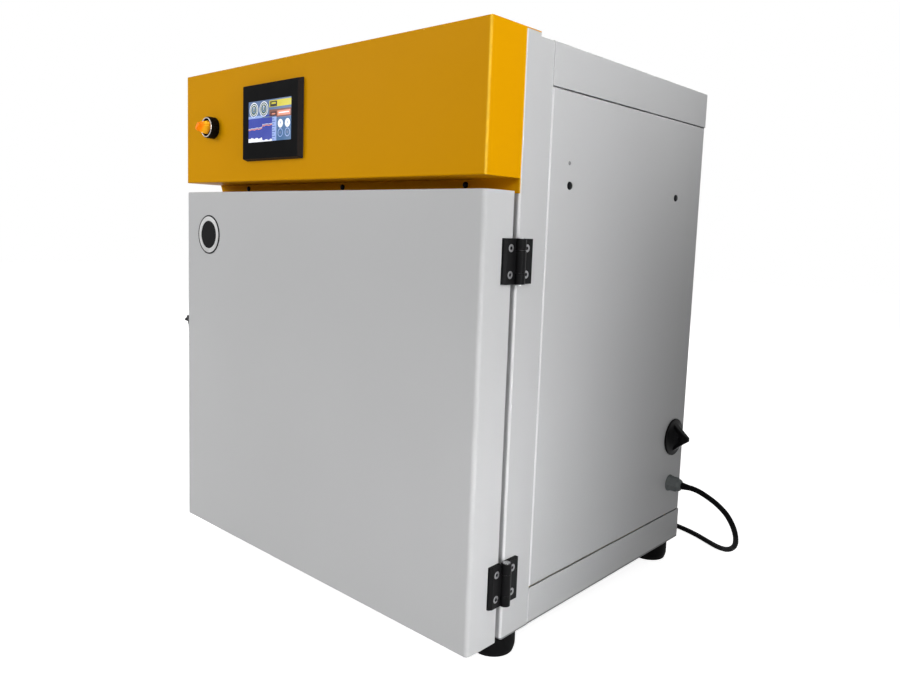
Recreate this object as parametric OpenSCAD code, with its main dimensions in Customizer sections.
// Laboratory drying oven: a folded steel case on rubber feet, a stainless chamber in mineral wool
// with a circulation fan behind a slotted baffle, a door on two block hinges with a claw latch at
// its left, and a fascia box above the door that holds a touch terminal and a selector switch.
// Millimetres. +Z is up, the front faces -Y, and the origin lies on the floor under the middle.

/* [Case] */
// Width of the case, the door and the fascia
case_w = 600; // [560:5:680]
// Depth of the case behind its front plate
case_d = 450; // [435:5:520]
// Height of the case from its underside to the top of its cover
case_h = 687; // [680:1:760]
// Thickness of the painted sheet
sheet = 1.2; // [1:0.1:1.5]
// Depth of the front frame's side strip
strip_d = 52; // [46:1:60]
// How far the panels behind the strip stand proud of it
panel_proud = 1; // [0.8:0.1:1.5]
// Width of the seams between panels
seam = 1; // [0.5:0.5:3]
// Height of the top cover's side band
top_band = 49; // [40:1:60]
// Height of the base tray's side band
base_band = 47; // [40:1:60]
// Bend radius of the panels
bend_r = 2.5; // [2:0.5:4]
// Depth of the raised ledge at the frame's top
ledge_d = 26; // [20:1:32]
// Height of the raised ledge over the top cover
ledge_h = 2.8; // [2:0.2:4]

/* [Door] */
// Height of the door
door_h = 516; // [500:1:520]
// Thickness of the door
door_t = 50; // [44:1:56]
// Gap between the door's back and the case
door_gap = 10; // [9:0.5:12]
// Height of the door's lower edge over the case's underside
door_lift = 1; // [0:0.5:3]
// Radius of the door's vertical front edges
door_r = 5; // [3:0.5:8]
// Width of the return flange round the door's back
door_return = 18; // [14:1:24]
// Width of the gasket
gasket_w = 14; // [10:1:18]
// Diameter of the blank disc on the door
disc_d = 58; // [40:1:70]
// Distance of the disc's centre from the door's left edge
disc_x = 64; // [45:1:90]
// Distance of the disc's centre from the door's top edge
disc_drop = 63.5; // [45:0.5:90]
// Thickness of the blank disc
disc_t = 1.2; // [0.8:0.2:2]

/* [Fascia] */
// Height of the fascia box
fascia_h = 160; // [150:1:180]
// Gap between the door's top edge and the fascia
fascia_gap = 14; // [10:1:20]
// Height of the fascia's lower flange
flange_h = 16; // [13:1:20]
// Slant of the flange's left end
flange_slant = 8; // [5:1:14]

/* [Touch terminal] */
// Width of the terminal's bezel
hmi_w = 129; // [120:1:135]
// Height of the terminal's bezel
hmi_h = 103; // [96:0.5:110]
// How far the bezel stands out of the fascia
hmi_t = 8; // [6:0.5:10]
// Width of the screen
screen_w = 97; // [90:1:105]
// Height of the screen
screen_h = 54.5; // [50:0.5:60]
// Distance of the terminal's centre to the left of the oven's middle
hmi_x = 72; // [60:1:90]
// Height of the terminal's centre over the fascia's lower edge
hmi_z = 79; // [70:1:90]

/* [Selector switch] */
// Diameter of the selector's bezel
selector_d = 31; // [28:1:34]
// How far the bezel stands out of the fascia
selector_t = 11; // [9:0.5:13]
// How far the lever's tip stands out of the fascia
selector_reach = 28; // [24:1:32]
// Distance of the selector to the left of the oven's middle
selector_x = 223; // [200:1:240]

/* [Hinges] */
// Width and height of a hinge
hinge_size = 50; // [46:1:56]
// Thickness of a hinge leaf
leaf_t = 5; // [4:0.5:6]
// Diameter of the hinge barrel
barrel_d = 12.5; // [11:0.5:14]
// Diameter of the hinge pin
pin_d = 6; // [5:0.5:7]
// Radial running clearance on the pins and spindles
run_fit = 0.05; // [0.03:0.01:0.08]
// Pitch of the hinge's screws, both ways
hinge_pitch = 29; // [27:1:32]
// Height of the lower hinge's centre over the door's lower edge
hinge_low = 71; // [55:1:90]
// Height of the upper hinge's centre over the door's lower edge
hinge_high = 440; // [420:1:460]
// Distance of the hinge axis in front of the case
hinge_set = 3; // [2:0.5:5]

/* [Latch] */
// Height of the latch over the door's lower edge
latch_z = 258; // [200:1:300]
// Distance of the latch's spindle behind the door's front
latch_y = 16; // [15:1:22]
// How far the lever's finger knob stands out of the door's side
latch_reach = 27; // [25:1:36]
// Length of the latch lever
lever_l = 59; // [50:1:70]
// Distance from the spindle to the keeper's stud
claw_r = 54; // [52:1:60]
// Diameter of the keeper's stud
stud_d = 8; // [6:0.5:10]
// Diameter of the latch spindle
spindle_d = 8; // [7:0.5:9]

/* [Chamber] */
// Inner width of the chamber
chamber_w = 440; // [400:5:450]
// Inner height of the chamber
chamber_h = 400; // [380:5:410]
// Inner depth of the chamber
chamber_d = 335; // [320:5:340]
// Thickness of the chamber's stainless sheet
liner_t = 1; // [0.8:0.1:1.2]
// Thickness of the insulation under the chamber's floor and over its ceiling
wool_t = 57; // [50:1:60]
// Thickness of the insulation behind the chamber
wool_back = 45; // [35:1:50]
// Width of the air channel between the insulation and the case's sides
side_channel = 22; // [20:1:30]
// Width of the chamber's front flange
mouth_w = 32; // [26:1:36]
// Depth of the fan space behind the baffle
plenum_d = 48; // [44:1:60]
// Height of the lowest shelf position over the chamber's floor
rack_first = 55; // [40:1:70]
// Pitch of the shelf positions
rack_pitch = 65; // [55:1:75]
// Diameter of the rack's rods
rack_rod = 6; // [5:0.5:7]
// Diameter of the shelf's wires
wire_d = 3; // [2.5:0.5:4]
// Pitch of the shelf's wires
wire_pitch = 16; // [12:1:22]

/* [Fan and heater] */
// Diameter of the impeller
impeller_d = 168; // [150:1:180]
// Width of the impeller's blades
blade_w = 24; // [18:1:28]
// Number of blades
blades = 24; // [16:1:32]
// Diameter of the fan shaft
shaft_d = 8; // [7:0.5:10]
// Diameter of the motor
motor_d = 84; // [70:1:96]
// Length of the motor
motor_l = 50; // [40:1:56]
// Diameter of the heater's turns
heater_d = 214; // [200:2:230]
// Diameter of the heater's tube
heater_tube = 8; // [6.5:0.5:9]

/* [Exhaust] */
// Outer diameter of the exhaust tube
port_d = 50; // [40:1:60]
// Wall of the exhaust tube
port_wall = 1.5; // [1:0.1:2]
// How far the exhaust tube stands out behind the case
port_reach = 28; // [22:1:34]
// Distance of the exhaust tube to the left of the oven's middle
port_x = 140; // [120:1:160]
// Height of the exhaust tube over the chamber's middle
port_up = 120; // [90:1:135]

/* [Thermostat and cord gland] */
// Diameter of the thermostat knob's skirt
knob_d = 56; // [50:1:60]
// How far the knob's grip stands out of the case's side strip
knob_reach = 27; // [24:1:34]
// Distance of the knob in front of the case's rear
knob_y = 38; // [36:1:42]
// Height of the knob over the case's underside
knob_z = 170; // [160:1:200]
// Distance of the gland in front of the case's rear
gland_y = 40; // [34:1:44]
// Height of the gland over the case's underside
gland_z = 98; // [80:1:110]
// Width across the flats of the gland's body
gland_af = 25; // [23:0.5:27]
// Diameter of the power cord
cord_d = 8; // [7:0.5:9]

/* [Feet] */
// Height of a foot
foot_h = 30; // [24:1:36]
// Diameter of a foot's top
foot_d = 56; // [48:1:60]
// Diameter of a foot's tread
tread_d = 52; // [44:1:54]
// Distance of the feet from the case's sides
foot_x = 32; // [30:1:45]
// Distance of the front feet from the case's front plate
foot_front = 26; // [26:1:45]
// Distance of the rear feet from the case's rear
foot_rear = 29; // [29:1:45]

/* [Hidden] */
$fn = 48;

// Colours
painted = [0.86, 0.87, 0.88];
yellow = [0.93, 0.68, 0.03];
black = [0.06, 0.06, 0.07];
steel = [0.74, 0.75, 0.77];
zinc = [0.62, 0.64, 0.66];
wool = [0.78, 0.72, 0.55];

// Clearances: between flat seats on different bodies, and round screws and tubes in their holes
seat_gap = 0.3;
hole_gap = 0.2;
tiny = 0.01;

// Heights
case_z0 = foot_h;
case_z1 = case_z0 + case_h;
door_z0 = case_z0 + door_lift;
door_z1 = door_z0 + door_h;
fascia_z0 = door_z1 + fascia_gap;
fascia_z1 = fascia_z0 + fascia_h;
ledge_z1 = fascia_z1 - sheet;
cover_z1 = ledge_z1 - ledge_h;

// Depths, with the selector's lever in front and the exhaust tube behind
door_proj = door_t + door_gap;
front_y = selector_reach - (selector_reach + door_proj + case_d + port_reach) / 2;
door_back_y = front_y + door_t;
frame_y = front_y + door_proj;
strip_y = frame_y + strip_d;
rear_y = frame_y + case_d;

// Widths
side_x = case_w / 2;
panel_x = side_x + panel_proud;

// Chamber
chamber_z0 = case_z0 + sheet + wool_t + liner_t;
chamber_z1 = chamber_z0 + chamber_h;
chamber_mid = (chamber_z0 + chamber_z1) / 2;
liner_back = frame_y + chamber_d;
wool_y1 = liner_back + liner_t + wool_back;
wool_z1 = chamber_z1 + liner_t + wool_t;
wool_x = side_x - side_channel;
bulkhead_y1 = wool_y1 + sheet;
rear_inner = rear_y - sheet;
baffle_y = liner_back - plenum_d;
tray_z = wool_z1;

// Side view of the front edge of a folded box
module front_profile(w, d, r) {
  translate([-w / 2, r]) square([w, d - r]);
  translate([-w / 2 + r, 0]) square([w - 2 * r, r + tiny]);
  for (s = [-1, 1]) translate([s * (w / 2 - r), r]) circle(r);
}

// Box whose upright front edges have radius r and whose level front edges have radius q
module folded_box(w, d, h, r, q) {
  intersection() {
    linear_extrude(h) front_profile(w, d, r);
    translate([0, 0, h / 2])
      rotate([0, 90, 0])
        linear_extrude(w + 2, center = true)
          front_profile(h, d, q);
  }
}

// Open-backed shell of a folded box
module folded_shell(w, d, h, r, q, t) {
  difference() {
    folded_box(w, d, h, r, q);
    translate([0, t, t]) folded_box(w - 2 * t, d, h - 2 * t, r - t + 0.2, max(q - t, 0.4));
  }
}

// Rectangle with round corners, centred
module round_rect(w, h, r) {
  square([w - 2 * r, h], center = true);
  square([w, h - 2 * r], center = true);
  for (sx = [-1, 1]) for (sy = [-1, 1])
    translate([sx * (w / 2 - r), sy * (h / 2 - r)]) circle(r);
}

// Rods along the axes, from the origin towards plus
module rod_x(l, d) { rotate([0, 90, 0]) cylinder(h = l, d = d); }
module rod_y(l, d) { rotate([-90, 0, 0]) cylinder(h = l, d = d); }
module rod_z(l, d) { cylinder(h = l, d = d); }

// Upright plate in the XZ plane, t thick towards +Y from y
module wall_xz(y, t) {
  translate([0, y + t, 0]) rotate([90, 0, 0]) linear_extrude(t) children();
}

// Plate in the YZ plane, t thick towards +X from x, drawn with Y to the right and Z up
module wall_yz(x, t) {
  translate([x, 0, 0]) rotate([90, 0, 90]) linear_extrude(t) children();
}

// Pan head of a screw with a cross recess, head up, seated at the origin
module pan_head(d, h) {
  difference() {
    rotate_extrude()
      polygon([[0, 0], [d / 2, 0], [d / 2, h * 0.45], [d * 0.36, h * 0.85], [d * 0.2, h], [0, h]]);
    for (a = [0, 90]) rotate(a) translate([-d * 0.26, -d * 0.05, h * 0.45]) cube([d * 0.52, d * 0.1, h]);
  }
}

// Screw along -Z with a pan head above the origin
module screw(head_d, head_h, shank_d, shank_l) {
  pan_head(head_d, head_h);
  translate([0, 0, -shank_l]) cylinder(h = shank_l + tiny, d = shank_d);
}

// Places that several pieces share
foot_places = [
  for (sx = [-1, 1]) for (y = [frame_y + foot_front, rear_y - foot_rear])
    [sx * (side_x - foot_x), y]
];
flange_screw_x = [-side_x + 80, 3, side_x - 78];
flange_screw_z = fascia_z0 - 6;
hinge_centres = [door_z0 + hinge_low, door_z0 + hinge_high];
hinge_x = side_x + barrel_d / 2 + seat_gap;
hinge_y = frame_y - hinge_set;
leaf_gap = barrel_d / 2 + seat_gap;
hinge_screw_d = 5;
tray_screw_y = [strip_y + 42, rear_y - 82];
tray_flange_h = 22;
tray_screw_z = tray_z + 12;
latch_pivot = [-side_x, front_y + latch_y, door_z0 + latch_z];
stud_y = latch_pivot[1] + claw_r;
hmi_centre = [-hmi_x, front_y, fascia_z0 + hmi_z];
selector_centre = [-selector_x, front_y, hmi_centre[2]];
knob_centre = [panel_x, rear_y - knob_y, case_z0 + knob_z];
gland_centre = [panel_x, rear_y - gland_y, case_z0 + gland_z];
port_centre = [-port_x, 0, chamber_mid + port_up];
baffle_w = chamber_w - 50;
baffle_h = chamber_h - 16;
baffle_legs = [
  for (sx = [-1, 1]) for (sz = [-1, 1])
    [sx * (baffle_w / 2 - 18), chamber_mid + sz * (baffle_h / 2 - 18)]
];
rear_screws = [
  for (sx = [-1, 1]) for (z = [case_z0 + 14, (case_z0 + cover_z1) / 2, cover_z1 - 14])
    [sx * (side_x - 6), z]
];

// Case

foot_bolt_d = 8;
frame_joint = 0.1;

// Folded front frame: two full-height side strips with three rails butt-welded between them
module front_frame() {
  opening_w = chamber_w + 2 * liner_t + 1;
  opening_h = chamber_h + 2 * liner_t + 1;
  rail_w = opening_w - 16;
  service_w = case_w - 90;
  service_z0 = fascia_z0 + 10;
  service_z1 = cover_z1 - 18;
  color(painted) {
    difference() {
      union() {
        // Side strips with round front edges, cut down behind the ledge
        intersection() {
          translate([0, frame_y, case_z0])
            folded_shell(case_w, strip_d, ledge_z1 - case_z0, 3, 1.5, sheet);
          union() {
            translate([-side_x, frame_y - 1, case_z0]) cube([case_w, ledge_d + 1, ledge_z1 - case_z0]);
            translate([-side_x, frame_y, case_z0]) cube([case_w, strip_d, cover_z1 - sheet - case_z0]);
          }
        }
        // Inward returns that the side panels are fixed to
        for (s = [-1, 1])
          translate([s > 0 ? side_x - 20 : -side_x + sheet / 2, strip_y - sheet, case_z0 + base_band])
            cube([20 - sheet / 2, sheet, cover_z1 - top_band - case_z0 - base_band]);
      }
      // Chamber mouth and the opening to the control space
      translate([-opening_w / 2, frame_y - 1, chamber_z0 - liner_t - 0.5])
        cube([opening_w, sheet + 2, opening_h]);
      translate([-service_w / 2, frame_y - 1, service_z0])
        cube([service_w, sheet + 2, service_z1 - service_z0]);
      // Butt joints between the rails and the side strips
      for (s = [-1, 1])
        translate([s * rail_w / 2 - frame_joint / 2, frame_y - 1, case_z0 - 1])
          cube([frame_joint, strip_d + 2, cover_z1 + 10]);
      // Open floor behind the front plate, for the feet's bolts and the tray
      translate([-side_x + 8, frame_y + 12, case_z0 - 1]) cube([case_w - 16, strip_d, sheet + 1.5]);
      // Hinge screws, keeper screws and flange screws
      for (z = hinge_centres) for (sz = [-1, 1])
        translate([side_x - 5, hinge_y + hinge_pitch / 2, z + sz * hinge_pitch / 2])
          rod_x(10, hinge_screw_d + 2 * hole_gap);
      for (sz = [-1, 1])
        translate([-side_x - 5, stud_y + 16, latch_pivot[2] + sz * 10]) rod_x(10, 4 + 2 * hole_gap);
      for (x = flange_screw_x)
        translate([x, frame_y - 5, flange_screw_z]) rod_y(10, 4 + 2 * hole_gap);
    }
  }
}

// Cover seen from the front: top and side bands with bent corners
module cover_profile(band) {
  difference() {
    translate([0, -band / 2]) round_rect(2 * panel_x, band, bend_r);
    translate([0, -band / 2 - sheet]) round_rect(2 * (panel_x - sheet), band, bend_r - sheet);
    translate([-panel_x - 1, -band - 1]) square([2 * panel_x + 2, bend_r + 1]);
  }
}

module top_cover() {
  color(painted) difference() {
    union() {
      wall_xz(strip_y, rear_y - strip_y)
        translate([0, cover_z1]) cover_profile(top_band + bend_r);
      // Front tongue over the frame, up to the raised ledge
      translate([-side_x + 4, frame_y + ledge_d + seat_gap, cover_z1 - sheet])
        cube([case_w - 8, strip_d - ledge_d, sheet]);
    }
    for (p = rear_screws) if (p[1] > cover_z1 - top_band)
      translate([p[0], rear_y - 5, p[1]]) rod_y(10, 4);
  }
}

module base_tray() {
  color(painted) difference() {
    union() {
      translate([0, rear_y, 0]) rotate([90, 0, 0]) linear_extrude(rear_y - strip_y - tiny)
        translate([0, case_z0]) mirror([0, 1]) cover_profile(base_band + bend_r);
      translate([-side_x + 8 + seat_gap, frame_y + 12 + seat_gap, case_z0])
        cube([case_w - 16 - 2 * seat_gap, strip_d - 12, sheet]);
    }
    for (p = foot_places) translate([p[0], p[1], case_z0 - 1]) rod_z(sheet + 2, foot_bolt_d + 2 * hole_gap);
  }
}

// Folded panel between the side bands, drawn for the right side
module side_panel() {
  z0 = case_z0 + base_band + seam;
  z1 = cover_z1 - top_band - seam;
  y1 = rear_y - sheet - seat_gap;
  depth = 12;
  difference() {
    intersection() {
      translate([0, 0, z0]) linear_extrude(z1 - z0)
        translate([panel_x - depth / 2, (strip_y + y1) / 2]) round_rect(depth, y1 - strip_y, bend_r);
      translate([0, y1 + 1, 0]) rotate([90, 0, 0]) linear_extrude(y1 - strip_y + 2)
        translate([panel_x - depth / 2, (z0 + z1) / 2]) round_rect(depth, z1 - z0, bend_r);
    }
    translate([panel_x - depth - 1, strip_y + sheet, z0 + sheet])
      cube([depth + 1 - sheet, y1 - strip_y - 2 * sheet, z1 - z0 - 2 * sheet]);
    for (y = tray_screw_y) translate([panel_x - 6, y, tray_screw_z]) rod_x(10, 6 + 2 * hole_gap);
    translate([panel_x - 6, tray_screw_y[0] - 2, tray_screw_z + 26]) rod_x(10, 3 + 2 * hole_gap);
    // Holes in the rear return for the rear panel's screws
    for (p = rear_screws) if (p[0] > 0) translate([p[0], y1 - 10, p[1]]) rod_y(20, 4 + 2 * hole_gap);
  }
}

module right_side_panel() {
  color(painted) difference() {
    side_panel();
    translate([panel_x - 6, knob_centre[1], knob_centre[2]]) rod_x(10, 10);
    translate([panel_x - 6, gland_centre[1], gland_centre[2]]) rod_x(10, 20 + 2 * hole_gap);
  }
}

module left_side_panel() {
  color(painted) mirror([1, 0, 0]) side_panel();
}

// Hooded slot in the rear panel, one end to the other along X
louvre_w = 70;
louvre_h = 7;
louvre_pitch = 13;
louvre_fields = [[-90, 640, 5], [90, 640, 5], [0, 250, 7]];

module louvre_hood() {
  // Quarter-round sheet over the slot, open below
  outer = [for (a = [0:15:90]) [5 * sin(a), louvre_h * cos(a)]];
  inner = [for (a = [90:-15:0]) [(5 - sheet) * sin(a), (louvre_h - sheet) * cos(a)]];
  rotate([90, 0, 90]) linear_extrude(louvre_w, center = true) polygon(concat(outer, inner));
  for (s = [-1, 1]) translate([s * (louvre_w / 2 - sheet / 2), 0, 0])
    rotate([90, 0, 90]) linear_extrude(sheet, center = true) polygon(concat([[0, 0]], outer));
}

module rear_panel() {
  z0 = case_z0 + sheet + 0.5;
  z1 = cover_z1 - sheet - 0.5;
  color(painted) {
    difference() {
      translate([-panel_x + sheet + 0.5, rear_inner, z0]) cube([2 * (panel_x - sheet - 0.5), sheet, z1 - z0]);
      for (f = louvre_fields) for (i = [0:f[2] - 1])
        translate([f[0] - louvre_w / 2 + sheet, rear_inner - 1, f[1] - i * louvre_pitch])
          cube([louvre_w - 2 * sheet, sheet + 2, louvre_h - sheet]);
      translate([port_centre[0], rear_inner - 1, port_centre[2]]) rod_y(sheet + 2, port_d + 2 * hole_gap);
      for (p = rear_screws) translate([p[0], rear_inner - 1, p[1]]) rod_y(sheet + 2, 4 + 2 * hole_gap);
    }
    for (f = louvre_fields) for (i = [0:f[2] - 1])
      translate([f[0], rear_y - tiny, f[1] - i * louvre_pitch]) louvre_hood();
  }
}

motor_pitch = 66;
bush_d = 16;

module rear_bulkhead() {
  color(zinc) difference() {
    union() {
      translate([-wool_x, wool_y1, case_z0 + sheet]) cube([2 * wool_x, sheet, wool_z1 - case_z0 - sheet]);
      // Side wings that reach the side panels
      wing_z0 = case_z0 + base_band + seam + sheet + seat_gap;
      for (s = [-1, 1]) translate([s > 0 ? wool_x - tiny : -panel_x + sheet + seat_gap, wool_y1, wing_z0])
        cube([panel_x - sheet - seat_gap - wool_x + tiny, sheet, wool_z1 - 20 - wing_z0]);
    }
    translate([0, wool_y1 - 1, chamber_mid]) rod_y(sheet + 2, bush_d);
    translate([port_centre[0], wool_y1 - 1, port_centre[2]]) rod_y(sheet + 2, port_d + 2 * hole_gap);
    for (s = [-1, 1]) for (t = [-1, 1])
      translate([s * motor_pitch / 2, wool_y1 - 1, chamber_mid + t * motor_pitch / 2])
        rod_y(sheet + 2, 5 + 2 * hole_gap);
    for (s = [-1, 1]) translate([s * 14, wool_y1 - 1, chamber_mid - heater_d / 2])
      rod_y(sheet + 2, heater_tube + 2 * hole_gap);
    translate([150, wool_y1 - 1, chamber_mid + 120]) rod_y(sheet + 2, 5 + 2 * hole_gap);
  }
}

module case_screws() {
  color(zinc) {
    for (p = rear_screws) translate([p[0], rear_y, p[1]]) rotate([-90, 0, 0]) screw(8, 3, 4, 8);
    // Small rivets above the front tray screws
    for (s = [-1, 1]) translate([s * panel_x, tray_screw_y[0] - 2, tray_screw_z + 26])
      rotate([0, s * 90, 0]) union() {
        cylinder(h = 0.8, d1 = 5, d2 = 3.5);
        translate([0, 0, -5]) cylinder(h = 5 + tiny, d = 3);
      }
    // Thumb screws that hold the baffle on its legs
    for (p = baffle_legs) translate([p[0], baffle_y, p[1]]) rotate([90, 0, 0]) union() {
      difference() {
        cylinder(h = 6, d = 14);
        for (a = [0:30:330]) rotate(a) translate([7.4, 0, -1]) cylinder(h = 8, d = 2);
      }
      translate([0, 0, -12]) cylinder(h = 12 + tiny, d = 4);
    }
  }
}

module black_screws() {
  color(black) {
    for (x = flange_screw_x) translate([x, frame_y - sheet, flange_screw_z])
      rotate([90, 0, 0]) screw(7.5, 2.5, 4, 8);
    for (s = [-1, 1]) for (y = tray_screw_y) translate([s * panel_x, y, tray_screw_z])
      rotate([0, s * 90, 0]) union() {
        // Low dome cap
        rotate_extrude() polygon([[0, 0], [4.9, 0], [4.7, 0.8], [3.9, 1.6], [2.6, 2.1], [0, 2.3]]);
        translate([0, 0, -8]) cylinder(h = 8 + tiny, d = 6);
      }
  }
}

foot_bore = 14;
foot_web = 8;

module rubber_feet() {
  r = foot_d / 2;
  q = tread_d / 2;
  // Outline from the bolt hole at the top round to the hollow tread
  shoulder = [for (a = [0:10:90]) [q + (r - q) * cos(a), foot_h * 0.4 - foot_h * 0.3 * sin(a)]];
  edge = [for (a = [0:15:90]) [q - 1.5 + 1.5 * cos(a), 1.5 - 1.5 * sin(a)]];
  color(black) for (p = foot_places) translate([p[0], p[1], 0]) rotate_extrude() polygon(concat(
    [[foot_bolt_d / 2 + hole_gap, foot_h], [r - 1, foot_h], [r, foot_h - 1]],
    shoulder, edge,
    [[foot_bore + 3, 0], [foot_bore, 3],
     [foot_bore, foot_h - foot_web - 2], [foot_bore - 2, foot_h - foot_web],
     [foot_bolt_d / 2 + hole_gap, foot_h - foot_web]]));
}

module foot_bolts() {
  head_z = foot_h - foot_web;
  color(zinc) for (p = foot_places) translate([p[0], p[1], 0]) {
    // Washer, hexagon head, shank and the nut inside the tray
    translate([0, 0, head_z - 1.6]) cylinder(h = 1.6, d = 20);
    translate([0, 0, head_z - 6.9]) cylinder(h = 5.3 + tiny, d = 15, $fn = 6);
    translate([0, 0, head_z - 2]) cylinder(h = foot_web + sheet + 9, d = foot_bolt_d);
    translate([0, 0, case_z0 + sheet]) difference() {
      cylinder(h = 6.5, d = 15, $fn = 6);
      translate([0, 0, -1]) cylinder(h = 2, d = foot_bolt_d - tiny);
    }
  }
}

// Chamber

probe_place = [150, chamber_mid + 120];

// Stainless sheets of the chamber, set a hair apart where they are welded
weld = 0.1;
liner_bend = 8;

// Side wall seen from the front, bent over at its top and bottom, drawn for the right side
module liner_side_profile() {
  difference() {
    intersection() {
      round_rect(chamber_w + 2 * liner_t, chamber_h + 2 * liner_t, liner_bend + liner_t);
      translate([chamber_w / 2 - liner_bend, -chamber_h]) square([liner_bend + 2, 2 * chamber_h]);
    }
    round_rect(chamber_w, chamber_h, liner_bend);
  }
}

module chamber_liner() {
  flat_w = chamber_w - 2 * liner_bend - 2 * weld;
  flange_w = chamber_w / 2 + mouth_w;
  flange_h = chamber_h / 2 + mouth_w;
  color(steel) {
    // Floor and ceiling between the bends of the side walls
    for (z = [chamber_z0 - liner_t, chamber_z1])
      translate([-flat_w / 2, frame_y, z]) cube([flat_w, chamber_d - weld, liner_t]);
    for (s = [0, 1]) mirror([s, 0, 0])
      translate([0, liner_back - weld, chamber_mid]) rotate([90, 0, 0]) linear_extrude(chamber_d - weld)
        liner_side_profile();
    // Back with the holes for the fan, the exhaust, the heater and the probe
    difference() {
      wall_xz(liner_back, liner_t) translate([0, chamber_mid])
        round_rect(chamber_w + 2 * liner_t, chamber_h + 2 * liner_t, liner_bend);
      translate([0, liner_back - 1, chamber_mid]) rod_y(liner_t + 2, bush_d - 4);
      translate([port_centre[0], liner_back - 1, port_centre[2]]) rod_y(liner_t + 2, port_d + 2 * hole_gap);
      for (s = [-1, 1]) translate([s * 14, liner_back - 1, chamber_mid - heater_d / 2])
        rod_y(liner_t + 2, heater_tube + 2 * hole_gap);
      translate([probe_place[0], liner_back - 1, probe_place[1]]) rod_y(liner_t + 2, 5 + 2 * hole_gap);
    }
    // Front flange over the painted frame: two long strips and two short ones between them
    for (s = [-1, 1]) {
      wall_xz(frame_y - liner_t, liner_t - weld)
        translate([s * (chamber_w + mouth_w) / 2, chamber_mid])
          square([mouth_w, 2 * flange_h], center = true);
      wall_xz(frame_y - liner_t, liner_t - weld)
        translate([0, chamber_mid + s * (chamber_h + mouth_w) / 2])
          square([chamber_w - 2 * weld, mouth_w], center = true);
    }
  }
}

module chamber_insulation() {
  inner = [chamber_w + 2 * liner_t, chamber_d + liner_t, chamber_h + 2 * liner_t];
  y0 = frame_y + sheet + 0.5;
  color(wool) difference() {
    translate([-wool_x, y0, case_z0 + sheet]) cube([2 * wool_x, wool_y1 - y0, wool_z1 - case_z0 - sheet]);
    translate([-inner[0] / 2, y0 - 1, chamber_z0 - liner_t])
      cube([inner[0], liner_back + liner_t - y0 + 1, inner[2]]);
    translate([0, liner_back, chamber_mid]) rod_y(wool_back + 10, bush_d + 4);
    translate([port_centre[0], liner_back, port_centre[2]]) rod_y(wool_back + 10, port_d + 2 * hole_gap);
    for (s = [-1, 1]) translate([s * 14, liner_back, chamber_mid - heater_d / 2])
      rod_y(wool_back + 10, heater_tube + 2 * hole_gap);
    translate([probe_place[0], liner_back, probe_place[1]]) rod_y(wool_back + 10, 5 + 2 * hole_gap);
    for (p = foot_places) translate([p[0], p[1], case_z0]) rod_z(sheet + 12, 20);
  }
}

module fan_baffle() {
  inlet_d = impeller_d - 28;
  color(steel) {
    difference() {
      wall_xz(baffle_y, sheet) translate([0, chamber_mid]) difference() {
        round_rect(baffle_w, baffle_h, 6);
        // Inlet grille: upright slots inside a circle
        intersection() {
          circle(d = inlet_d);
          for (x = [-inlet_d / 2:9:inlet_d / 2]) for (row = [-2:1:2])
            translate([x - 2.5, row * 28 - 12]) square([5, 24]);
        }
        // Two columns of level slots at each side
        for (sx = [-1, 1]) for (c = [0, 1]) for (i = [-8:1:8])
          translate([sx * (baffle_w / 2 - 36 - c * 30) - 11, i * 20 - 2]) square([22, 4]);
      }
      for (p = baffle_legs) translate([p[0], baffle_y - 1, p[1]]) rod_y(sheet + 2, 4 + 2 * hole_gap);
    }
    // Side returns that stiffen the plate
    for (s = [-1, 1])
      translate([s * (baffle_w - sheet) / 2 - sheet / 2, baffle_y + sheet - tiny, chamber_mid - baffle_h / 2 + 8])
        cube([sheet, 12, baffle_h - 16]);
    // Legs that stand on the chamber's back
    for (p = baffle_legs) translate([p[0], baffle_y + sheet - tiny, p[1]]) difference() {
      rod_y(plenum_d - sheet, 10);
      translate([0, -1, 0]) rod_y(14, 4 + 2 * hole_gap);
    }
  }
}

// Wire rack at each side: two posts with level runners
rack_y0 = frame_y + 24;
rack_y1 = baffle_y - 14;
rack_levels = [for (i = [0:4]) chamber_z0 + rack_first + i * rack_pitch];
post_x = chamber_w / 2 - rack_rod / 2 - seat_gap;
runner_d = rack_rod - 1;
runner_x = post_x - rack_rod / 2 - runner_d / 2 - 1;

module side_racks() {
  post_y = [rack_y0 + 30, rack_y1 - 30];
  color(steel) for (s = [-1, 1]) {
    for (y = post_y) {
      translate([s * post_x, y, chamber_z0 + 12]) rod_z(chamber_h - 24, rack_rod);
      // Studs that hold the rack to the chamber's side
      for (z = [chamber_z0 + 30, chamber_z1 - 30])
        translate([s > 0 ? post_x : -chamber_w / 2, y, z]) rod_x(chamber_w / 2 - post_x, 9);
    }
    for (z = rack_levels) {
      translate([s * runner_x, rack_y0, z]) rod_y(rack_y1 - rack_y0, runner_d);
      for (y = post_y) translate([s > 0 ? runner_x : -post_x, y, z])
        rod_x(post_x - runner_x, runner_d - 1);
    }
  }
}

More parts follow.
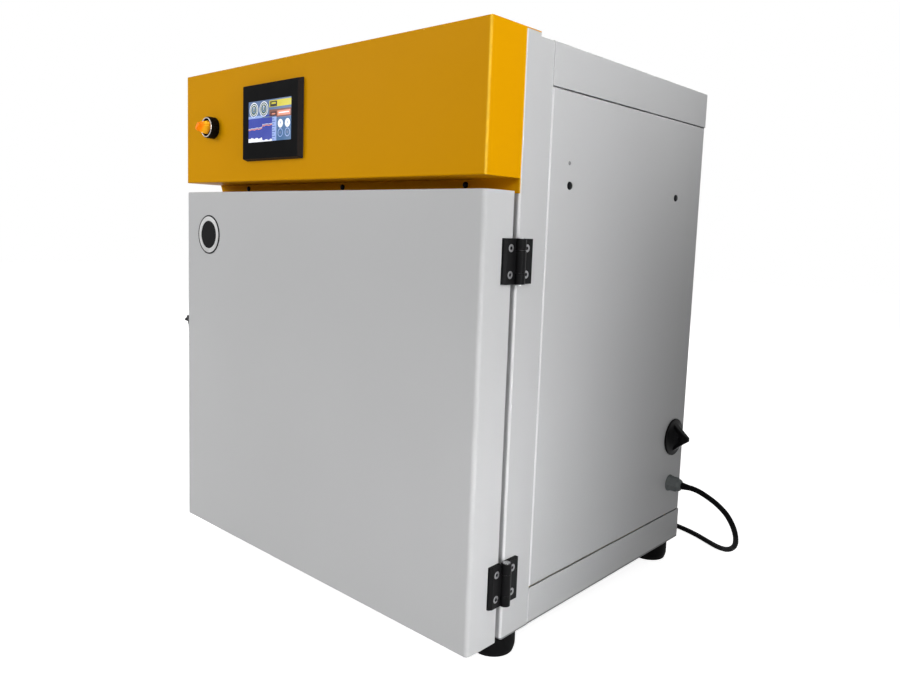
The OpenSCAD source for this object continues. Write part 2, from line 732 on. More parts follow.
// Wire shelf, lying on the runners at height z
shelf_frame_d = 5;
shelf_x = post_x - rack_rod / 2 - seat_gap - shelf_frame_d / 2;
module shelf(z) {
  y0 = rack_y0 + 4;
  y1 = rack_y1 - 2;
  zc = z + runner_d / 2 + shelf_frame_d / 2;
  count = floor((shelf_x - 8) / wire_pitch);
  translate([0, 0, zc]) {
    for (s = [-1, 1]) translate([s * shelf_x, y0, 0]) {
      rod_y(y1 - y0, shelf_frame_d);
      for (y = [0, y1 - y0]) translate([0, y, 0]) sphere(d = shelf_frame_d);
    }
    for (y = [y0, y1]) translate([-shelf_x, y, 0]) rod_x(2 * shelf_x, shelf_frame_d);
    for (y = [y0 + (y1 - y0) / 3, y0 + (y1 - y0) * 2 / 3])
      translate([-shelf_x, y, -1]) rod_x(2 * shelf_x, wire_d);
    for (i = [-count:count]) translate([i * wire_pitch, y0, 1.2]) rod_y(y1 - y0, wire_d);
  }
}

module lower_shelf() { color(steel) shelf(rack_levels[1]); }
module upper_shelf() { color(steel) shelf(rack_levels[3]); }

// Two turns of tube round the impeller, with legs through the chamber's back
module heater_element() {
  turn_y = [baffle_y + 15, baffle_y + 30];
  leg_y1 = bulkhead_y1 + 18;
  color([0.45, 0.4, 0.36]) {
    for (y = turn_y) translate([0, y, chamber_mid]) rotate([90, 0, 0]) rotate([0, 0, -90 + 8])
      rotate_extrude(angle = 344) translate([heater_d / 2, 0]) circle(d = heater_tube);
    // The turns are joined at one side and leave towards the back at both
    translate([14 * 1.06, turn_y[0], chamber_mid - heater_d / 2 + 1])
      rod_y(turn_y[1] - turn_y[0], heater_tube);
    for (s = [-1, 1]) translate([s * 14, turn_y[s > 0 ? 1 : 0], chamber_mid - heater_d / 2])
      rod_y(leg_y1 - turn_y[s > 0 ? 1 : 0], heater_tube);
    // Ceramic beads and screw ends behind the bulkhead
    for (s = [-1, 1]) translate([s * 14, bulkhead_y1 + 0.3, chamber_mid - heater_d / 2]) {
      rod_y(8, 13);
      rod_y(28, 4);
    }
  }
}

// Fan

impeller_y = liner_back - 8;

module fan_impeller() {
  hub_d = 30;
  tip = impeller_d / 2;
  root = tip - 26;
  thick = 1;
  color(steel) translate([0, impeller_y, chamber_mid]) rotate([90, 0, 0]) {
    // Back plate and hub, bored for the shaft
    difference() {
      union() {
        cylinder(h = 1.5, d = impeller_d);
        cylinder(h = blade_w - 4, d = hub_d);
        translate([0, 0, 1]) cylinder(h = 8, d1 = hub_d + 22, d2 = hub_d);
      }
      translate([0, 0, -1]) cylinder(h = blade_w + 2, d = shaft_d + 2 * tiny);
    }
    // Forward-curved blades, each a slice of a tube
    for (i = [0:blades - 1]) rotate(i * 360 / blades) intersection() {
      translate([(tip + root) / 2, 11, 1.4]) difference() {
        cylinder(h = blade_w - 1.4, r = 17);
        translate([0, 0, -1]) cylinder(h = blade_w + 2, r = 17 - thick);
      }
      translate([root, -14, 0]) cube([tip - root - 1.5, 16, blade_w]);
    }
    // Front ring
    translate([0, 0, blade_w - 1.5]) difference() {
      cylinder(h = 1.5, d = impeller_d);
      translate([0, 0, -1]) cylinder(h = 4, d = 2 * root - 2);
    }
  }
}

motor_y0 = bulkhead_y1 + 6;

module fan_shaft() {
  color(steel) translate([0, impeller_y - blade_w + 2, chamber_mid])
    rod_y(motor_y0 + 20 - impeller_y + blade_w, shaft_d);
}

module fan_motor() {
  color([0.2, 0.21, 0.23]) translate([0, 0, chamber_mid]) difference() {
    union() {
      // Front cover with its nose, finned stator, rear cover
      translate([0, motor_y0, 0]) rod_y(8, motor_d);
      translate([0, motor_y0 - 4, 0]) rod_y(5, 26);
      translate([0, motor_y0 + 8 - tiny, 0]) rod_y(motor_l - 18, motor_d - 8);
      for (i = [0:5]) translate([0, motor_y0 + 11 + i * 5, 0]) rod_y(2, motor_d - 2);
      translate([0, motor_y0 + motor_l - 10 - 2 * tiny, 0]) rod_y(10, motor_d - 4);
      // Lugs and spacers to the bulkhead
      for (s = [-1, 1]) for (t = [-1, 1])
        translate([s * motor_pitch / 2, bulkhead_y1, t * motor_pitch / 2]) rod_y(12, 13);
      for (s = [-1, 1]) for (t = [-1, 1])
        translate([s * motor_pitch / 2, bulkhead_y1 - sheet, t * motor_pitch / 2]) rod_y(2, 5);
    }
    translate([0, motor_y0 - 10, 0]) rod_y(34, shaft_d + 2 * run_fit);
  }
}

module temperature_probe() {
  color(steel) translate([probe_place[0], 0, probe_place[1]]) {
    translate([0, liner_back - 34, 0]) rod_y(wool_back + 34 + 20, 5);
    translate([0, liner_back - 34, 0]) sphere(d = 5);
    // Gland nut on the bulkhead
    translate([0, bulkhead_y1, 0]) rotate([-90, 0, 0]) cylinder(h = 6, d = 12, $fn = 6);
  }
}

module exhaust_tube() {
  bore = port_d - 2 * port_wall;
  color(steel) translate([port_centre[0], 0, port_centre[2]]) difference() {
    union() {
      translate([0, liner_back - liner_t, 0]) rod_y(rear_y + port_reach - liner_back + liner_t, port_d);
      // Flange on the chamber's back and bead near the mouth
      translate([0, liner_back - 1.2, 0]) rod_y(1.2, port_d + 16);
      translate([0, rear_y + port_reach - 7, 0]) rotate([-90, 0, 0]) rotate_extrude()
        translate([port_d / 2 - 0.4, 0]) circle(d = 2.4);
    }
    translate([0, liner_back - 10, 0]) rod_y(rear_y + port_reach - liner_back + 20, bore);
  }
}

// Fascia

module fascia_housing() {
  top_d = frame_y + ledge_d - front_y;
  color(yellow) difference() {
    union() {
      translate([0, front_y, fascia_z0]) folded_shell(case_w, door_proj - tiny, fascia_h, 2.5, 1.5, sheet);
      // Thin top plate that runs back over the frame's ledge
      translate([-side_x, frame_y - 6, fascia_z1 - sheet]) cube([case_w, ledge_d + 6, sheet]);
      // Lower flange with slanted ends, screwed to the front frame
      wall_xz(frame_y - sheet, sheet - tiny) polygon([
        [-side_x, fascia_z0], [-side_x + flange_slant, fascia_z0 - flange_h],
        [side_x, fascia_z0 - flange_h],
        [side_x, fascia_z0 + sheet], [-side_x, fascia_z0 + sheet]]);
    }
    translate([hmi_centre[0], front_y - 1, hmi_centre[2]]) rotate([-90, 0, 0]) linear_extrude(sheet + 2)
      square([hmi_w - 8, hmi_h - 8], center = true);
    translate([selector_centre[0], front_y - 1, selector_centre[2]]) rod_y(sheet + 2, 22 + 2 * hole_gap);
    for (x = flange_screw_x) translate([x, frame_y - 5, flange_screw_z]) rod_y(10, 4 + 2 * hole_gap);
  }
}

module terminal_housing() {
  body_w = hmi_w - 9;
  body_h = hmi_h - 9;
  color(black) translate([hmi_centre[0], front_y, hmi_centre[2]]) rotate([90, 0, 0]) {
    difference() {
      union() {
        // Bezel with drafted sides
        hull() {
          linear_extrude(1.5) round_rect(hmi_w, hmi_h, 3);
          translate([0, 0, hmi_t - 1]) linear_extrude(1) round_rect(hmi_w - 4, hmi_h - 4, 3);
        }
        // Body behind the panel
        translate([-body_w / 2, -body_h / 2, -28]) cube([body_w, body_h, 28 + tiny]);
      }
      translate([-screen_w / 2 - hole_gap, -screen_h / 2 - hole_gap, hmi_t - 1.2])
        cube([screen_w + 2 * hole_gap, screen_h + 2 * hole_gap, 2]);
    }
    // Clamps that pull the bezel to the panel
    for (s = [-1, 1]) for (t = [-1, 1]) translate([s * (body_w / 2 + 3), t * body_h * 0.28, -16])
      cube([8, 8, 2 * (16 - sheet - seat_gap)], center = true);
  }
}

module terminal_screen() {
  color([0.2, 0.3, 0.55]) translate([hmi_centre[0], front_y - hmi_t + 0.2, hmi_centre[2]])
    rotate([-90, 0, 0]) linear_extrude(1) square([screen_w, screen_h], center = true);
}

recess_d = selector_d - 7;

module selector_body() {
  color([0.16, 0.16, 0.17]) translate(selector_centre) {
    translate([0, -0.5, 0]) rod_y(16, 22);
    // Ring nut behind the panel
    translate([0, sheet + 0.1, 0]) rotate([-90, 0, 0]) cylinder(h = 5, d = 29, $fn = 6);
    translate([-15, 14, -15]) cube([30, 38, 30]);
    // Terminal screws' wells
    for (s = [-1, 1]) translate([s * 9 - 3, 50, -12]) cube([6, 4, 24]);
  }
}

module selector_bezel() {
  color(black) translate(selector_centre) rotate([90, 0, 0]) difference() {
    rotate_extrude() polygon([
      [0, 0.5], [12, 0.5], [12, 0], [selector_d / 2, 0], [selector_d / 2, selector_t - 1],
      [selector_d / 2 - 0.6, selector_t], [recess_d / 2, selector_t], [recess_d / 2, 4], [0, 4]]);
    // Grip grooves round the side
    for (a = [0:15:345]) rotate(a) translate([selector_d / 2 + 0.35, 0, 1.5])
      cylinder(h = selector_t - 3.2, d = 1.8);
  }
}

module selector_ring() {
  crown_x = (selector_d + recess_d) / 4 - 0.3;
  crown_r = (selector_d - recess_d - 1.4) / 4;
  crown = [for (a = [0:15:180]) [crown_x - crown_r * cos(a), selector_t + 2.6 * sin(a)]];
  color([0.85, 0.85, 0.86]) translate(selector_centre) rotate([90, 0, 0]) rotate_extrude()
    polygon(concat([[recess_d / 2 + 0.2, selector_t]], crown, [[selector_d / 2 - 0.8, selector_t]]));
}

module selector_lever() {
  lever_w = 8;
  lever_lean = 45;
  disc = recess_d / 2 - 0.5;
  color([0.98, 0.55, 0.1]) translate(selector_centre) rotate([90, 0, 0]) {
    translate([0, 0, 4.3]) cylinder(h = 4, r = disc);
    // Grip with sloping ends and a crowned edge, turned to the right where the switch is on
    rotate(-lever_lean) hull() {
      translate([0, 0, 8]) linear_extrude(0.5) round_rect(lever_w + 2, 2 * disc - 2, 2);
      translate([0, 0, selector_t + 3]) linear_extrude(0.5) round_rect(lever_w, 2 * disc - 1, 2);
      translate([0, 0, selector_reach - 0.5]) linear_extrude(0.5) round_rect(lever_w - 2.5, 2 * disc - 11, 2);
    }
  }
}

// Control space

module control_tray() {
  x = panel_x - sheet - seat_gap;
  y0 = strip_y + 3;
  y1 = wool_y1 + sheet;
  color(zinc) difference() {
    union() {
      translate([-x, y0, tray_z]) cube([2 * x, y1 - y0, sheet]);
      for (s = [-1, 1]) translate([s > 0 ? x - sheet : -x, y0, tray_z + tiny])
        cube([sheet, rear_y - 60 - y0, tray_flange_h]);
      // Rail for the terminal block
      translate([60, -60, tray_z + sheet - tiny]) cube([150, 35, 7]);
    }
    for (s = [-1, 1]) for (y = tray_screw_y)
      translate([s * (x - 3) - 5, y, tray_screw_z]) rod_x(10, 6 + 2 * hole_gap);
  }
}

module power_supply() {
  size = [98, 159, 38];
  color([0.7, 0.71, 0.72]) translate([-230, -120, tray_z + sheet]) difference() {
    cube(size);
    // Vent slots in the cover and the open terminal end
    for (i = [0:11]) for (s = [0, 1]) translate([12 + s * 40, 30 + i * 10, size[2] - 1.5]) cube([34, 4, 3]);
    translate([4, -1, 12]) cube([size[0] - 8, 15, size[2]]);
  }
}

sink_size = [100, 80, 48];
sink_place = [-70, -60, tray_z + sheet];

module relay_heatsink() {
  color(steel) translate(sink_place) {
    cube([sink_size[0], sink_size[1], 8]);
    for (i = [0:10]) translate([i * (sink_size[0] - 2) / 10, 0, 8 - tiny])
      cube([2, sink_size[1], i < 2 || i > 8 ? sink_size[2] - 8 : 14]);
  }
}

module solid_state_relay() {
  color([0.13, 0.14, 0.16]) translate([sink_place[0] + 27, sink_place[1] + 10, sink_place[2] + 22]) {
    difference() {
      cube([46, 58, 22]);
      for (x = [6, 40]) for (y = [7, 51]) translate([x, y, 12]) cylinder(h = 12, d = 7);
    }
    for (x = [6, 40]) for (y = [7, 51]) translate([x, y, 12 - tiny]) cylinder(h = 5, d = 5.5);
  }
}

module terminal_block() {
  color([0.55, 0.56, 0.52]) translate([70, -66, tray_z + sheet + 7])
    for (i = [0:9]) translate([i * 12, 0, 0]) difference() {
      cube([11.6, 47, 40]);
      for (y = [-1, 37]) translate([-1, y, 30]) cube([14, 11, 12]);
      for (y = [6, 41]) translate([5.8, y, 20]) cylinder(h = 30, d = 5);
    }
}

// Loom from the gland up the rear space and forward over the tray
loom_points = [
  [286, 215, 128], [268, 215, 129], [254, 217, 136], [246, 219, 148], [244, 220, 168],
  [244, 220, 300], [244, 220, 440], [244, 219, 535], [242, 214, 556], [238, 202, 570],
  [232, 184, 576], [226, 150, 577], [220, 90, 577], [214, 30, 576], [204, 5, 575],
  [197, -6, 574], [195, -12, 573.6], [195, -18.9, 573.5]
];

module wiring_loom() {
  color(black) tube(loom_points, 9, [1, 1, 0]);
}

// Thermostat and cord gland

module thermostat_body() {
  depth = 30;
  x1 = panel_x - sheet;
  color([0.75, 0.72, 0.62]) translate([x1 - depth, knob_centre[1], knob_centre[2]]) difference() {
    union() {
      translate([0, -20, -20]) cube([depth - 4, 40, 40]);
      translate([depth - 4 - tiny, 0, 0]) rod_x(4 - seat_gap, 22);
      translate([-6, -16, -14]) cube([7, 10, 28]);
    }
    translate([depth - 16, 0, 0]) rod_x(20, 6 + 2 * run_fit);
  }
}

module thermostat_shaft() {
  color(steel) translate([panel_x - sheet - 14, knob_centre[1], knob_centre[2]]) rod_x(14 + sheet + 15, 6);
}

module thermostat_knob() {
  lift = 0.6;
  top = side_x + knob_reach - panel_x - lift;
  r = knob_d / 2;
  // Skirt with a rounded rim, then a hollow curve up to the neck
  flare = [for (a = [0:10:90]) [9 + (r - 11) * (1 - sin(a)), 3 + 11 * (1 - cos(a))]];
  rim = [[0, 0], [r - 0.6, 0], [r, 0.8], [r, 2], [r - 0.8, 2.8]];
  color(black) translate([panel_x + lift, knob_centre[1], knob_centre[2]]) rotate([0, 90, 0])
    difference() {
      union() {
        rotate_extrude() polygon(concat(rim, flare, [[0, 14]]));
        // Upright bar grip that tapers to its tip
        hull() {
          translate([0, 0, 3]) linear_extrude(1) round_rect(42, 12, 4);
          translate([0, 0, top - 9]) linear_extrude(1) round_rect(20, 11, 4);
          translate([0, 0, top - 0.5]) linear_extrude(0.5) round_rect(4, 6, 1.8);
        }
      }
      translate([0, 0, -1]) cylinder(h = 16, d = 6 + 2 * tiny);
    }
}

module gland_body() {
  color([0.5, 0.52, 0.53]) translate(gland_centre) difference() {
    union() {
      rotate([0, 90, 0]) cylinder(h = 5, d = gland_af / cos(30), $fn = 6);
      translate([5 - tiny, 0, 0]) rod_x(8, 18);
      translate([-14, 0, 0]) rod_x(14 + tiny, 20);
      // Lock nut inside the panel
      translate([-sheet - 5, 0, 0]) rotate([0, 90, 0]) cylinder(h = 5, d = 27, $fn = 6);
    }
    translate([-20, 0, 0]) rod_x(50, cord_d + 2);
  }
}

gland_end = 21.2;

module gland_nut() {
  dome = [for (a = [0:15:75]) [gland_af / 2 - 7.2 + 6 * cos(a), 10 + 6 * sin(a)]];
  color([0.56, 0.58, 0.59])
    translate([gland_centre[0] + 5.3, gland_centre[1], gland_centre[2]]) rotate([0, 90, 0])
      difference() {
        union() {
          intersection() {
            cylinder(h = 9, d = (gland_af - 1) / cos(30), $fn = 6);
            cylinder(h = 9, d1 = gland_af + 3, d2 = gland_af + 1);
          }
          // Dome that closes on the cord
          rotate_extrude()
            polygon(concat([[0, 8], [gland_af / 2 - 1.2, 8]], dome, [[0, gland_end - 5.3]]));
        }
        translate([0, 0, -1]) cylinder(h = 9.5, d = 18 + 2 * hole_gap);
        cylinder(h = 30, d = cord_d + 2);
      }
}

// Hinges

module leaf_profile(bevel) {
  // Plate seen from above, its free edge bevelled, drawn towards +Y from the axis
  polygon([
    [side_x, leaf_gap], [side_x + leaf_t, leaf_gap],
    [side_x + leaf_t, hinge_size / 2 - bevel], [side_x + leaf_t - bevel * 0.6, hinge_size / 2],
    [side_x, hinge_size / 2]]);
}

// Knuckle with the arm that joins it to a leaf towards +Y
module knuckle(z0, z1) {
  translate([0, 0, z0]) linear_extrude(z1 - z0) difference() {
    union() {
      translate([hinge_x, 0]) circle(d = barrel_d);
      translate([side_x + seat_gap, 0]) square([leaf_t - seat_gap, leaf_gap + 0.2]);
    }
    translate([side_x - 5, -leaf_gap - 10]) square([leaf_t + 1.5, leaf_gap + 10]);
  }
}

knuckle_end = hinge_size / 4;
knuckle_gap = 0.3;

module hinge_holes(z, side) {
  for (sz = [-1, 1]) translate([side_x, hinge_y + side * hinge_pitch / 2, z + sz * hinge_pitch / 2]) {
    translate([-1, 0, 0]) rod_x(leaf_t + 2, hinge_screw_d + 2 * hole_gap);
    translate([leaf_t - 2.7, 0, 0]) rotate([0, 90, 0])
      cylinder(h = 2.8, d1 = hinge_screw_d + 0.4, d2 = hinge_screw_d + 4.4);
  }
}

module hinge_case_leaves() {
  half = hinge_size / 2;
  color(black) for (z = hinge_centres) difference() {
    translate([0, hinge_y, z]) union() {
      translate([0, 0, -half]) linear_extrude(hinge_size) leaf_profile(1);
      knuckle(-half, -half + knuckle_end);
      knuckle(half - knuckle_end, half);
    }
    translate([hinge_x, hinge_y, z - half - 1]) rod_z(hinge_size + 2, pin_d);
    hinge_holes(z, 1);
  }
}

module hinge_door_leaves() {
  half = hinge_size / 2;
  reach = half - knuckle_end - knuckle_gap;
  color(black) for (z = hinge_centres) difference() {
    translate([0, hinge_y, z]) mirror([0, 1, 0]) union() {
      translate([0, 0, -half]) linear_extrude(hinge_size) leaf_profile(4);
      knuckle(-reach, reach);
    }
    translate([hinge_x, hinge_y, z - half - 1]) rod_z(hinge_size + 2, pin_d + 2 * run_fit);
    hinge_holes(z, -1);
  }
}

module hinge_pins() {
  half = hinge_size / 2;
  color(steel) for (z = hinge_centres) translate([hinge_x, hinge_y, z]) {
    translate([0, 0, -half]) rod_z(hinge_size, pin_d);
    // Riveted heads on the ends
    for (s = [-1, 1]) translate([0, 0, s * (half + 0.5)]) cylinder(h = 1, d = pin_d + 3, center = true);
  }
}

module hinge_screw() {
  // Countersunk head with a hexagon socket, seated in the leaf
  difference() {
    union() {
      translate([leaf_t - 2.6, 0, 0]) rotate([0, 90, 0])
        cylinder(h = 2.5, d1 = hinge_screw_d, d2 = hinge_screw_d + 3.8);
      translate([-8, 0, 0]) rod_x(leaf_t + 6, hinge_screw_d);
    }
    translate([leaf_t - 1.8, 0, 0]) rotate([0, 90, 0]) cylinder(h = 3, d = 4.4, $fn = 6);
  }
}

module hinge_screws(side) {
  color(steel) for (z = hinge_centres) for (sz = [-1, 1])
    translate([side_x, hinge_y + side * hinge_pitch / 2, z + sz * hinge_pitch / 2]) hinge_screw();
}

module hinge_case_screws() { hinge_screws(1); }
module hinge_door_screws() { hinge_screws(-1); }

// Door

module door_skin() {
  color(painted) difference() {
    union() {
      translate([0, front_y, door_z0]) folded_shell(case_w, door_t - tiny, door_h, door_r, 2, sheet);
      // Return flange round the back
      difference() {
        translate([-side_x + sheet / 2, door_back_y - sheet, door_z0 + sheet / 2])
          cube([case_w - sheet, sheet, door_h - sheet]);
        translate([-side_x + door_return, door_back_y - sheet - 1, door_z0 + door_return])
          cube([case_w - 2 * door_return, sheet + 2, door_h - 2 * door_return]);
      }
    }
    for (z = hinge_centres) for (sz = [-1, 1])
      translate([side_x - 5, hinge_y - hinge_pitch / 2, z + sz * hinge_pitch / 2])
        rod_x(10, hinge_screw_d + 2 * hole_gap);
    translate([latch_pivot[0] - 5, latch_pivot[1], latch_pivot[2]]) rod_x(12, spindle_d + 4);
    for (s = [-1, 1]) translate([latch_pivot[0] - 5, latch_pivot[1], latch_pivot[2] + s * 17])
      rod_x(12, 4 + 2 * hole_gap);
  }
}

plateau_w = chamber_w + 2 * 12;
plateau_h = chamber_h + 2 * 12;
plateau_t = door_gap - liner_t - 2;

module door_inner_panel() {
  w = case_w - 2 * door_return + 12;
  h = door_h - 2 * door_return + 12;
  mid = (door_z0 + door_z1) / 2;
  color(steel) difference() {
    union() {
      wall_xz(door_back_y, liner_t) translate([0, mid]) round_rect(w, h, 5);
      // Pressed plateau inside the gasket
      hull() {
        wall_xz(door_back_y, liner_t) translate([0, chamber_mid]) round_rect(plateau_w, plateau_h, 10);
        wall_xz(door_back_y + plateau_t - liner_t, liner_t)
          translate([0, chamber_mid]) round_rect(plateau_w - 10, plateau_h - 10, 8);
      }
    }
    // Hollow behind the plateau
    hull() {
      wall_xz(door_back_y - 1, liner_t)
        translate([0, chamber_mid]) round_rect(plateau_w - 2.4, plateau_h - 2.4, 9);
      wall_xz(door_back_y + plateau_t - 2 * liner_t - 0.1, liner_t)
        translate([0, chamber_mid]) round_rect(plateau_w - 12.4, plateau_h - 12.4, 7);
    }
  }
}

module door_insulation() {
  color(wool) translate([-side_x + door_return + 1, front_y + sheet, door_z0 + door_return + 1])
    cube([case_w - 2 * door_return - 2, door_t - sheet, door_h - 2 * door_return - 2]);
}

module door_gasket() {
  y0 = door_back_y + liner_t;
  y1 = frame_y - liner_t - seat_gap;
  inner_w = plateau_w + 2;
  inner_h = plateau_h + 2;
  color([0.72, 0.28, 0.2]) translate([0, 0, chamber_mid]) {
    // Foot of the profile, then its round bulb
    wall_xz(y0, 3) difference() {
      round_rect(inner_w + 2 * gasket_w, inner_h + 2 * gasket_w, 14);
      round_rect(inner_w, inner_h, 10);
    }
    wall_xz(y0 + 3 - tiny, y1 - y0 - 3) difference() {
      round_rect(inner_w + 2 * gasket_w - 5, inner_h + 2 * gasket_w - 5, 12);
      round_rect(inner_w + 7, inner_h + 7, 9);
    }
  }
}

module door_disc() {
  color(black) translate([-side_x + disc_x, front_y, door_z1 - disc_drop]) rotate([90, 0, 0]) difference() {
    cylinder(h = disc_t, d = disc_d);
    // Shallow ring between the rim and the middle
    translate([0, 0, disc_t - 0.4]) difference() {
      cylinder(h = 1, d = disc_d - 6);
      translate([0, 0, -1]) cylinder(h = 3, d = disc_d - 22);
    }
  }
}

// Latch: a lever and a claw on one spindle, and a stud on the case

base_t = 3;
claw_t = 4;
claw_gap = 0.4;
claw_clear = 0.6;

module latch_base() {
  color(zinc) translate(latch_pivot) {
    difference() {
      union() {
        translate([-base_t, 0, 0]) rotate([90, 0, 90]) linear_extrude(base_t) round_rect(20, 50, 6);
        // Bush through the door's side
        rod_x(sheet + 8, spindle_d + 3.6);
      }
      translate([-base_t - 1, 0, 0]) rod_x(30, spindle_d + 2 * run_fit);
      for (s = [-1, 1]) translate([-base_t - 1, 0, s * 17]) rod_x(10, 4 + 2 * hole_gap);
    }
    for (s = [-1, 1]) translate([-base_t, 0, s * 17]) rotate([0, 90, 0]) union() {
      translate([0, 0, 0.6]) cylinder(h = 9, d = 4);
      cylinder(h = 0.8, d = 4);
    }
  }
}

function arc_points(r, a0, a1, n) =
  [for (i = [0:n]) let (a = a0 + (a1 - a0) * i / n) [r * cos(a), r * sin(a)]];

// Claw seen from the left side with Y to the right and Z up, as it stands when open
module claw_shape() {
  slot_in = claw_r - stud_d / 2 - claw_clear;
  slot_out = claw_r + stud_d / 2 + claw_clear;
  tip = slot_out + 7;
  half = atan((stud_d / 2 + claw_clear) / claw_r);
  difference() {
    union() {
      circle(9);
      polygon(concat([[8, 3]], arc_points(slot_in + 1, 76, 102, 8), [[-8, 3]]));
      polygon(concat(arc_points(tip, 76, 102, 8), arc_points(slot_in, 102, 76, 8)));
    }
    // Curved slot, open towards the stud
    polygon(concat(arc_points(slot_out, 70, 90 + half, 12), arc_points(slot_in, 90 + half, 70, 12)));
  }
}

module latch_claw() {
  color(steel) translate([latch_pivot[0] - base_t - claw_gap - claw_t, latch_pivot[1], latch_pivot[2]])
    difference() {
      rotate([90, 0, 90]) linear_extrude(claw_t) claw_shape();
      translate([-1, 0, 0]) rod_x(claw_t + 2, spindle_d + 2 * tiny);
    }
}

module latch_lever() {
  x0 = base_t + claw_gap + claw_t;
  arm_t = 5;
  arm_w = 12;
  knob_h = latch_reach - x0 - arm_t;
  color(black) translate([latch_pivot[0] - x0, latch_pivot[1], latch_pivot[2]]) {
    // Flat arm with a pointed finger knob
    mirror([1, 0, 0]) {
      hull() {
        rod_x(arm_t, arm_w + 1);
        translate([0, 0, lever_l]) rod_x(arm_t, arm_w);
      }
      translate([arm_t - tiny, 0, lever_l]) rotate([0, 90, 0]) rotate_extrude() polygon([
        [0, 0], [5.6, 0], [6.6, 1.5], [6.6, 3],
        [4.6, knob_h * 0.5], [1.8, knob_h - 0.8], [1, knob_h], [0, knob_h]]);
    }
    // Spindle through the claw, the base and the door's side
    translate([-2, 0, 0]) rod_x(2 + x0 + sheet + 12, spindle_d);
    translate([x0 + sheet + 8.3, 0, 0]) rod_x(2.5, spindle_d + 6);
  }
}

module latch_keeper() {
  plate_t = 2.5;
  color(zinc) translate([-side_x, stud_y, latch_pivot[2]]) difference() {
    union() {
      translate([-plate_t, -8, -16]) cube([plate_t, 34, 32]);
      translate([-base_t - claw_gap - claw_t + 0.5, 0, 0]) rod_x(base_t + claw_gap + claw_t - 0.5, stud_d);
      // Screws into the case's strip
      for (s = [-1, 1]) translate([-plate_t, 16, s * 10]) rotate([0, -90, 0]) pan_head(7, 2);
      for (s = [-1, 1]) translate([-plate_t, 16, s * 10]) rod_x(9, 4);
    }
    translate([tiny, -20, -20]) cube([sheet - tiny, 30, 40]);
  }
}

// Power cord: out of the gland, down to the floor, round behind the case to its coil

cord_points = [
  [338, 215, 128], [350, 215, 126], [364, 215, 121], [378, 217, 113], [390, 223, 100],
  [396, 234, 82], [396, 249, 62], [390, 267, 42], [378, 286, 26], [362, 304, 14],
  [342, 321, 7], [320, 336, 4.5], [296, 349, 4.2], [270, 359, 4.2], [240, 366, 4.2],
  [214, 368, 4.2], [188, 368, 4.2]
];
tail_points = [
  [104, 333, 14], [95, 325, 11], [81, 316.5, 10.5], [70, 311.8, 15], [61, 309.7, 18.8], [52.3, 308.1, 19.2]];
coil_centre = [160, 318, 0];
coil_r = 46;
cord_sides = 10;

function unit(v) = v / norm(v);
function cross3(a, b) = [a[1] * b[2] - a[2] * b[1], a[2] * b[0] - a[0] * b[2], a[0] * b[1] - a[1] * b[0]];
function heading(p, i) = unit(p[min(i + 1, len(p) - 1)] - p[max(i - 1, 0)]);
function ring(p, i, d, side) =
  let (t = heading(p, i), a = unit(cross3(t, side)), b = cross3(t, a))
  [for (k = [0:cord_sides - 1])
    p[i] + d / 2 * (cos(360 * k / cord_sides) * a + sin(360 * k / cord_sides) * b)];

module tube(p, d, side = [0, 0, 1]) {
  n = len(p);
  polyhedron(
    points = [for (i = [0:n - 1]) each ring(p, i, d, side)],
    faces = concat(
      [[for (k = [0:cord_sides - 1]) k]],
      [for (i = [0:n - 2]) for (k = [0:cord_sides - 1]) let (m = (k + 1) % cord_sides)
        [i * cord_sides + k, (i + 1) * cord_sides + k, (i + 1) * cord_sides + m, i * cord_sides + m]],
      [[for (k = [cord_sides - 1:-1:0]) (n - 1) * cord_sides + k]]));
}

module power_cord() {
  color(black) {
    tube(cord_points, cord_d);
    tube(tail_points, cord_d);
  }
}

module cord_sleeve() {
  x0 = gland_centre[0] + gland_end;
  color(black) translate([x0, gland_centre[1], gland_centre[2]]) rotate([0, 90, 0]) rotate_extrude()
    polygon([[0, 0], [6, 0], [6.4, 1], [6.2, 3], [4.8, 15], [0, cord_points[0][0] - x0]]);
}

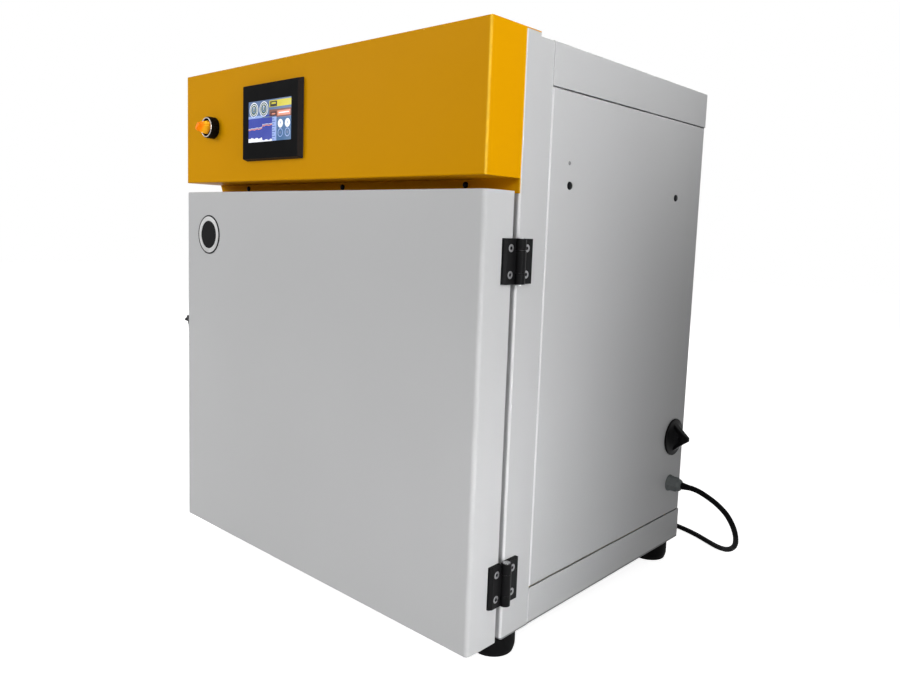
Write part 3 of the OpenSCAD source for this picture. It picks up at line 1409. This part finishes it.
module cord_coil() {
  color(black) translate(coil_centre) rotate_extrude()
    translate([coil_r - cord_d, 0.2]) square([2 * cord_d, 3 * cord_d]);
}

module cord_tie() {
  color(black) translate([coil_centre[0] - coil_r, coil_centre[1], 0]) difference() {
    translate([-cord_d - 1.4, -4, 0]) cube([2 * cord_d + 2.8, 8, 3 * cord_d + 1.6]);
    translate([-cord_d - 0.2, -5, -1]) cube([2 * cord_d + 0.4, 10, 3 * cord_d + 1.4]);
  }
}

module mains_plug() {
  color(black) translate([20.5, 302.5, 19.2]) rotate([0, 0, 190]) {
    rotate([0, 90, 0]) {
      // Round body with a tapered grip, earth slots at its sides
      difference() {
        union() {
          cylinder(h = 22, d = 38);
          translate([0, 0, -20]) cylinder(h = 20 + tiny, d1 = 24, d2 = 34);
          translate([0, 0, -32]) cylinder(h = 13, d1 = 12, d2 = 22);
        }
        for (s = [-1, 1]) translate([s * 19.5 - 2, -4, 6]) cube([4, 8, 20]);
      }
      color(steel) for (s = [-1, 1]) translate([0, s * 9.5, 22 - tiny]) cylinder(h = 19, d = 4.8);
    }
  }
}

front_frame();
top_cover();
base_tray();
left_side_panel();
right_side_panel();
rear_panel();
rear_bulkhead();
case_screws();
black_screws();
rubber_feet();
foot_bolts();
chamber_liner();
chamber_insulation();
fan_baffle();
side_racks();
lower_shelf();
upper_shelf();
heater_element();
fan_impeller();
fan_shaft();
fan_motor();
temperature_probe();
exhaust_tube();
fascia_housing();
terminal_housing();
terminal_screen();
selector_body();
selector_bezel();
selector_ring();
selector_lever();
control_tray();
power_supply();
relay_heatsink();
solid_state_relay();
terminal_block();
wiring_loom();
thermostat_body();
thermostat_shaft();
thermostat_knob();
gland_body();
gland_nut();
hinge_case_leaves();
hinge_door_leaves();
hinge_pins();
hinge_case_screws();
hinge_door_screws();
door_skin();
door_inner_panel();
door_insulation();
door_gasket();
door_disc();
latch_base();
latch_lever();
latch_claw();
latch_keeper();
power_cord();
cord_sleeve();
cord_coil();
cord_tie();
mains_plug();
